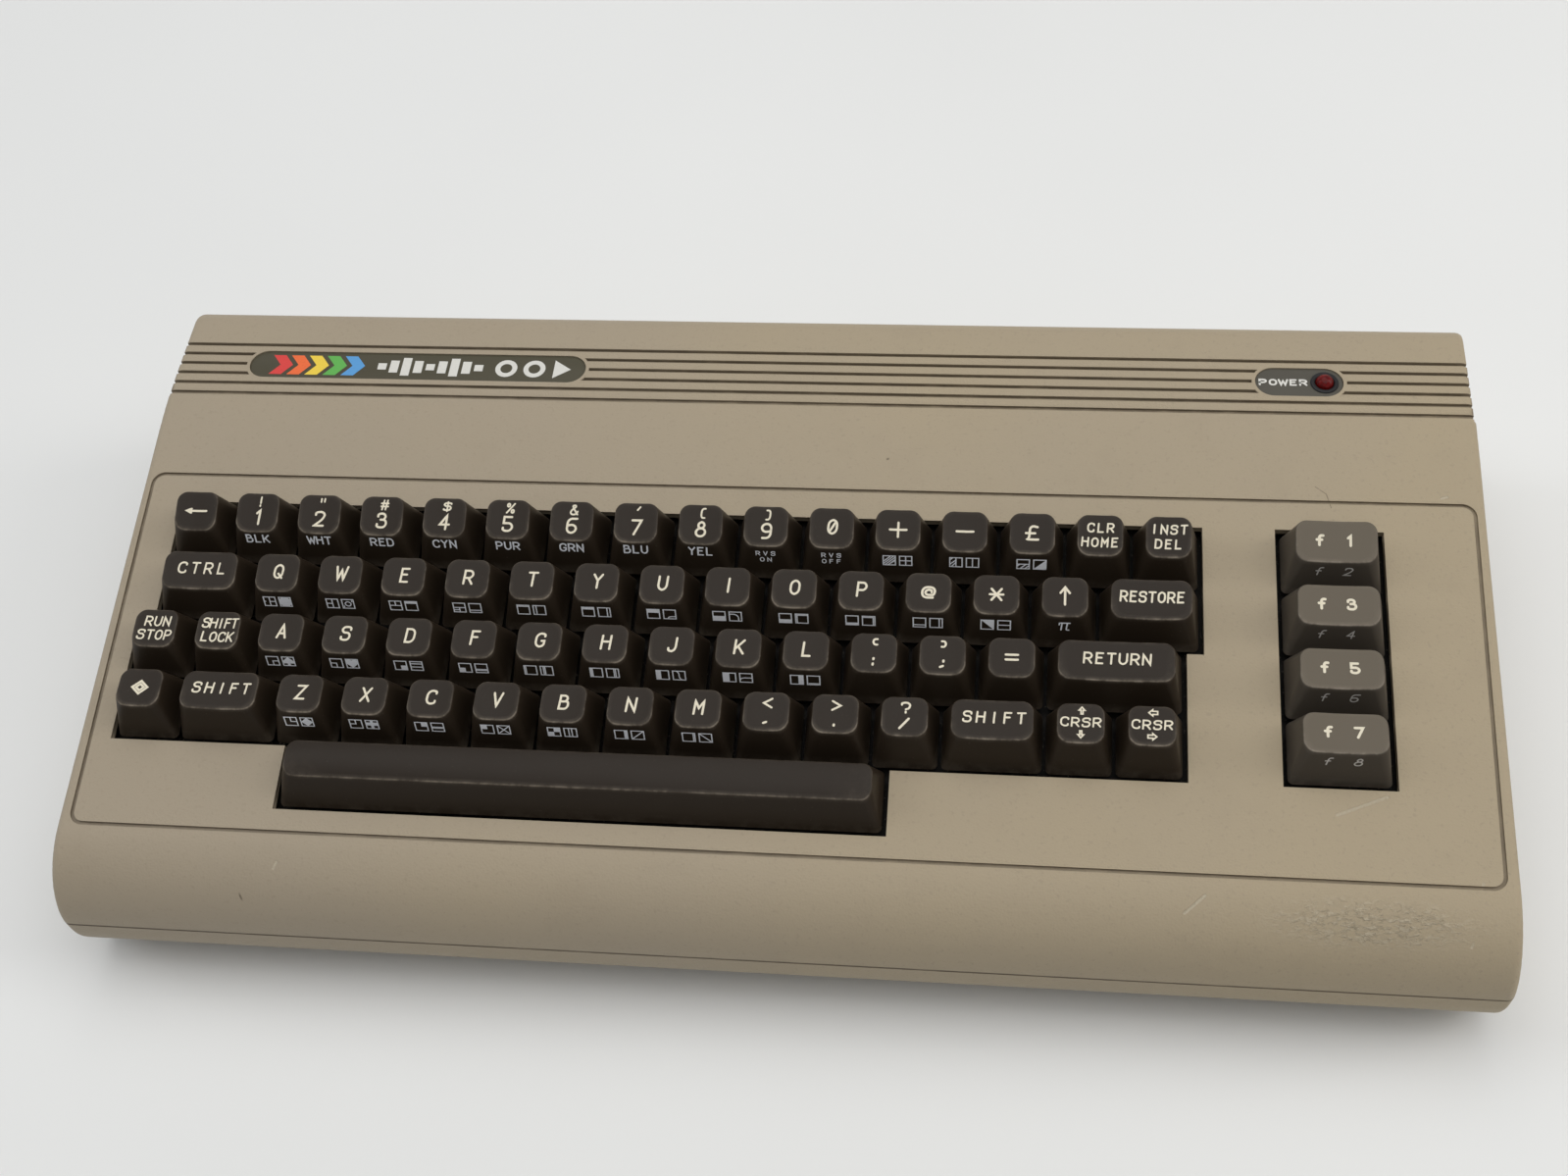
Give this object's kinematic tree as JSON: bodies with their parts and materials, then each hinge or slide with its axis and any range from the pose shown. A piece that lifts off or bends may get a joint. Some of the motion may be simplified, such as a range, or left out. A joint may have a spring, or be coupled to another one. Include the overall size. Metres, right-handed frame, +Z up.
{
  "type": "home computer with built-in keyboard",
  "caption": "Wedge-shaped beige home computer of the early eighties with a built-in dark brown keyboard, side and rear sockets, a rocker switch and a red power lamp.",
  "frame": {"origin": "on the table plane under the feet, at the middle of the case's width and depth", "axes": "+X to the user's right along the width, +Y from the user's side to the rear ports, +Z up"},
  "size_m": [0.404, 0.202, 0.0799],
  "materials": {
    "case_plastic": "fine grained beige-grey moulding",
    "key_plastic": "satin dark brown",
    "function_plastic": "satin grey-brown",
    "badge_face": "dark grey-brown, satin",
    "power_face": "mid grey, satin",
    "lamp_red": "dark red, clear",
    "foot_rubber": "matt black",
    "screw_steel": "zinc plated",
    "frame_plastic": "black",
    "board_laminate": "green lacquered laminate",
    "spring_steel": "drawn wire",
    "ribbon_plastic": "grey",
    "chip_plastic": "black",
    "can_sleeve": "dark blue sleeve",
    "tinned_can": "tinned",
    "port_plastic": "black",
    "rocker_plastic": "black"
  },
  "bodies": {
    "case": {"top_case": "case_plastic", "bottom_case": "case_plastic", "rubber_feet": "foot_rubber", "case_screws": "screw_steel", "name_badge": "badge_face", "power_badge": "power_face", "power_lamp": "lamp_red", "keyboard_frame": "frame_plastic", "keyboard_board": "board_laminate", "keyboard_screws": "screw_steel", "key_springs": "spring_steel", "keyboard_cable": "ribbon_plastic", "main_board": "board_laminate", "board_screws": "screw_steel", "integrated_circuits": "chip_plastic", "capacitors": "can_sleeve", "rf_modulator": "tinned_can", "cartridge_socket": "port_plastic", "din_sockets": "port_plastic", "power_socket": "port_plastic", "control_ports": "port_plastic", "power_switch": "port_plastic"},
    "key_q": {"key_q": "key_plastic"},
    "key_w": {"key_w": "key_plastic"},
    "key_e": {"key_e": "key_plastic"},
    "key_r": {"key_r": "key_plastic"},
    "key_t": {"key_t": "key_plastic"},
    "key_y": {"key_y": "key_plastic"},
    "key_u": {"key_u": "key_plastic"},
    "key_i": {"key_i": "key_plastic"},
    "key_o": {"key_o": "key_plastic"},
    "key_p": {"key_p": "key_plastic"},
    "key_a": {"key_a": "key_plastic"},
    "key_s": {"key_s": "key_plastic"},
    "key_d": {"key_d": "key_plastic"},
    "key_f": {"key_f": "key_plastic"},
    "key_g": {"key_g": "key_plastic"},
    "key_h": {"key_h": "key_plastic"},
    "key_j": {"key_j": "key_plastic"},
    "key_k": {"key_k": "key_plastic"},
    "key_l": {"key_l": "key_plastic"},
    "key_z": {"key_z": "key_plastic"},
    "key_x": {"key_x": "key_plastic"},
    "key_c": {"key_c": "key_plastic"},
    "key_v": {"key_v": "key_plastic"},
    "key_b": {"key_b": "key_plastic"},
    "key_n": {"key_n": "key_plastic"},
    "key_m": {"key_m": "key_plastic"},
    "symbol_keys": {"symbol_keys": "key_plastic"},
    "digit_keys": {"digit_keys": "key_plastic"},
    "command_keys": {"command_keys": "key_plastic"},
    "shift_lock_key": {"shift_lock_key": "key_plastic"},
    "return_key": {"return_key": "key_plastic"},
    "left_shift_key": {"left_shift_key": "key_plastic"},
    "right_shift_key": {"right_shift_key": "key_plastic"},
    "cursor_keys": {"cursor_keys": "key_plastic"},
    "space_bar": {"space_bar": "key_plastic"},
    "function_keys": {"function_keys": "function_plastic"},
    "channel_selector": {"channel_selector": "port_plastic"},
    "power_rocker": {"power_rocker": "rocker_plastic"}
  },
  "joints": [
    {"name": "key_q_press", "type": "slide", "parent": "case", "child": "key_q", "axis": [0, 0.1736, -0.9848], "range_m": [0, 0.004], "stiffness_N_per_m": 110, "springref_m": -0.002},
    {"name": "key_w_press", "type": "slide", "parent": "case", "child": "key_w", "axis": [0, 0.1736, -0.9848], "range_m": [0, 0.004], "stiffness_N_per_m": 110, "springref_m": -0.002},
    {"name": "key_e_press", "type": "slide", "parent": "case", "child": "key_e", "axis": [0, 0.1736, -0.9848], "range_m": [0, 0.004], "stiffness_N_per_m": 110, "springref_m": -0.002},
    {"name": "key_r_press", "type": "slide", "parent": "case", "child": "key_r", "axis": [0, 0.1736, -0.9848], "range_m": [0, 0.004], "stiffness_N_per_m": 110, "springref_m": -0.002},
    {"name": "key_t_press", "type": "slide", "parent": "case", "child": "key_t", "axis": [0, 0.1736, -0.9848], "range_m": [0, 0.004], "stiffness_N_per_m": 110, "springref_m": -0.002},
    {"name": "key_y_press", "type": "slide", "parent": "case", "child": "key_y", "axis": [0, 0.1736, -0.9848], "range_m": [0, 0.004], "stiffness_N_per_m": 110, "springref_m": -0.002},
    {"name": "key_u_press", "type": "slide", "parent": "case", "child": "key_u", "axis": [0, 0.1736, -0.9848], "range_m": [0, 0.004], "stiffness_N_per_m": 110, "springref_m": -0.002},
    {"name": "key_i_press", "type": "slide", "parent": "case", "child": "key_i", "axis": [0, 0.1736, -0.9848], "range_m": [0, 0.004], "stiffness_N_per_m": 110, "springref_m": -0.002},
    {"name": "key_o_press", "type": "slide", "parent": "case", "child": "key_o", "axis": [0, 0.1736, -0.9848], "range_m": [0, 0.004], "stiffness_N_per_m": 110, "springref_m": -0.002},
    {"name": "key_p_press", "type": "slide", "parent": "case", "child": "key_p", "axis": [0, 0.1736, -0.9848], "range_m": [0, 0.004], "stiffness_N_per_m": 110, "springref_m": -0.002},
    {"name": "key_a_press", "type": "slide", "parent": "case", "child": "key_a", "axis": [0, 0.1736, -0.9848], "range_m": [0, 0.004], "stiffness_N_per_m": 110, "springref_m": -0.002},
    {"name": "key_s_press", "type": "slide", "parent": "case", "child": "key_s", "axis": [0, 0.1736, -0.9848], "range_m": [0, 0.004], "stiffness_N_per_m": 110, "springref_m": -0.002},
    {"name": "key_d_press", "type": "slide", "parent": "case", "child": "key_d", "axis": [0, 0.1736, -0.9848], "range_m": [0, 0.004], "stiffness_N_per_m": 110, "springref_m": -0.002},
    {"name": "key_f_press", "type": "slide", "parent": "case", "child": "key_f", "axis": [0, 0.1736, -0.9848], "range_m": [0, 0.004], "stiffness_N_per_m": 110, "springref_m": -0.002},
    {"name": "key_g_press", "type": "slide", "parent": "case", "child": "key_g", "axis": [0, 0.1736, -0.9848], "range_m": [0, 0.004], "stiffness_N_per_m": 110, "springref_m": -0.002},
    {"name": "key_h_press", "type": "slide", "parent": "case", "child": "key_h", "axis": [0, 0.1736, -0.9848], "range_m": [0, 0.004], "stiffness_N_per_m": 110, "springref_m": -0.002},
    {"name": "key_j_press", "type": "slide", "parent": "case", "child": "key_j", "axis": [0, 0.1736, -0.9848], "range_m": [0, 0.004], "stiffness_N_per_m": 110, "springref_m": -0.002},
    {"name": "key_k_press", "type": "slide", "parent": "case", "child": "key_k", "axis": [0, 0.1736, -0.9848], "range_m": [0, 0.004], "stiffness_N_per_m": 110, "springref_m": -0.002},
    {"name": "key_l_press", "type": "slide", "parent": "case", "child": "key_l", "axis": [0, 0.1736, -0.9848], "range_m": [0, 0.004], "stiffness_N_per_m": 110, "springref_m": -0.002},
    {"name": "key_z_press", "type": "slide", "parent": "case", "child": "key_z", "axis": [0, 0.1736, -0.9848], "range_m": [0, 0.004], "stiffness_N_per_m": 110, "springref_m": -0.002},
    {"name": "key_x_press", "type": "slide", "parent": "case", "child": "key_x", "axis": [0, 0.1736, -0.9848], "range_m": [0, 0.004], "stiffness_N_per_m": 110, "springref_m": -0.002},
    {"name": "key_c_press", "type": "slide", "parent": "case", "child": "key_c", "axis": [0, 0.1736, -0.9848], "range_m": [0, 0.004], "stiffness_N_per_m": 110, "springref_m": -0.002},
    {"name": "key_v_press", "type": "slide", "parent": "case", "child": "key_v", "axis": [0, 0.1736, -0.9848], "range_m": [0, 0.004], "stiffness_N_per_m": 110, "springref_m": -0.002},
    {"name": "key_b_press", "type": "slide", "parent": "case", "child": "key_b", "axis": [0, 0.1736, -0.9848], "range_m": [0, 0.004], "stiffness_N_per_m": 110, "springref_m": -0.002},
    {"name": "key_n_press", "type": "slide", "parent": "case", "child": "key_n", "axis": [0, 0.1736, -0.9848], "range_m": [0, 0.004], "stiffness_N_per_m": 110, "springref_m": -0.002},
    {"name": "key_m_press", "type": "slide", "parent": "case", "child": "key_m", "axis": [0, 0.1736, -0.9848], "range_m": [0, 0.004], "stiffness_N_per_m": 110, "springref_m": -0.002},
    {"name": "symbol_keys_press", "type": "slide", "parent": "case", "child": "symbol_keys", "axis": [0, 0.1736, -0.9848], "range_m": [0, 0.004], "stiffness_N_per_m": 1430, "springref_m": -0.002},
    {"name": "digit_keys_press", "type": "slide", "parent": "case", "child": "digit_keys", "axis": [0, 0.1736, -0.9848], "range_m": [0, 0.004], "stiffness_N_per_m": 1100, "springref_m": -0.002},
    {"name": "command_keys_press", "type": "slide", "parent": "case", "child": "command_keys", "axis": [0, 0.1736, -0.9848], "range_m": [0, 0.004], "stiffness_N_per_m": 660, "springref_m": -0.002},
    {"name": "shift_lock_key_press", "type": "slide", "parent": "case", "child": "shift_lock_key", "axis": [0, 0.1736, -0.9848], "range_m": [0, 0.004], "stiffness_N_per_m": 110, "springref_m": -0.002},
    {"name": "return_key_press", "type": "slide", "parent": "case", "child": "return_key", "axis": [0, 0.1736, -0.9848], "range_m": [0, 0.004], "stiffness_N_per_m": 140, "springref_m": -0.002},
    {"name": "left_shift_key_press", "type": "slide", "parent": "case", "child": "left_shift_key", "axis": [0, 0.1736, -0.9848], "range_m": [0, 0.004], "stiffness_N_per_m": 110, "springref_m": -0.002},
    {"name": "right_shift_key_press", "type": "slide", "parent": "case", "child": "right_shift_key", "axis": [0, 0.1736, -0.9848], "range_m": [0, 0.004], "stiffness_N_per_m": 110, "springref_m": -0.002},
    {"name": "cursor_keys_press", "type": "slide", "parent": "case", "child": "cursor_keys", "axis": [0, 0.1736, -0.9848], "range_m": [0, 0.004], "stiffness_N_per_m": 220, "springref_m": -0.002},
    {"name": "space_bar_press", "type": "slide", "parent": "case", "child": "space_bar", "axis": [0, 0.1736, -0.9848], "range_m": [0, 0.004], "stiffness_N_per_m": 180, "springref_m": -0.002},
    {"name": "function_keys_press", "type": "slide", "parent": "case", "child": "function_keys", "axis": [0, 0.1736, -0.9848], "range_m": [0, 0.004], "stiffness_N_per_m": 440, "springref_m": -0.002},
    {"name": "power_rocker_tilt", "type": "hinge", "parent": "case", "child": "power_rocker", "pos_m": [0.1968, 0.034, 0.0231], "axis": [0, 0, -1], "range_deg": [0, 12]},
    {"name": "channel_selector_slide", "type": "slide", "parent": "case", "child": "channel_selector", "axis": [1, 0, 0], "range_m": [0, 0.004]}
  ]
}
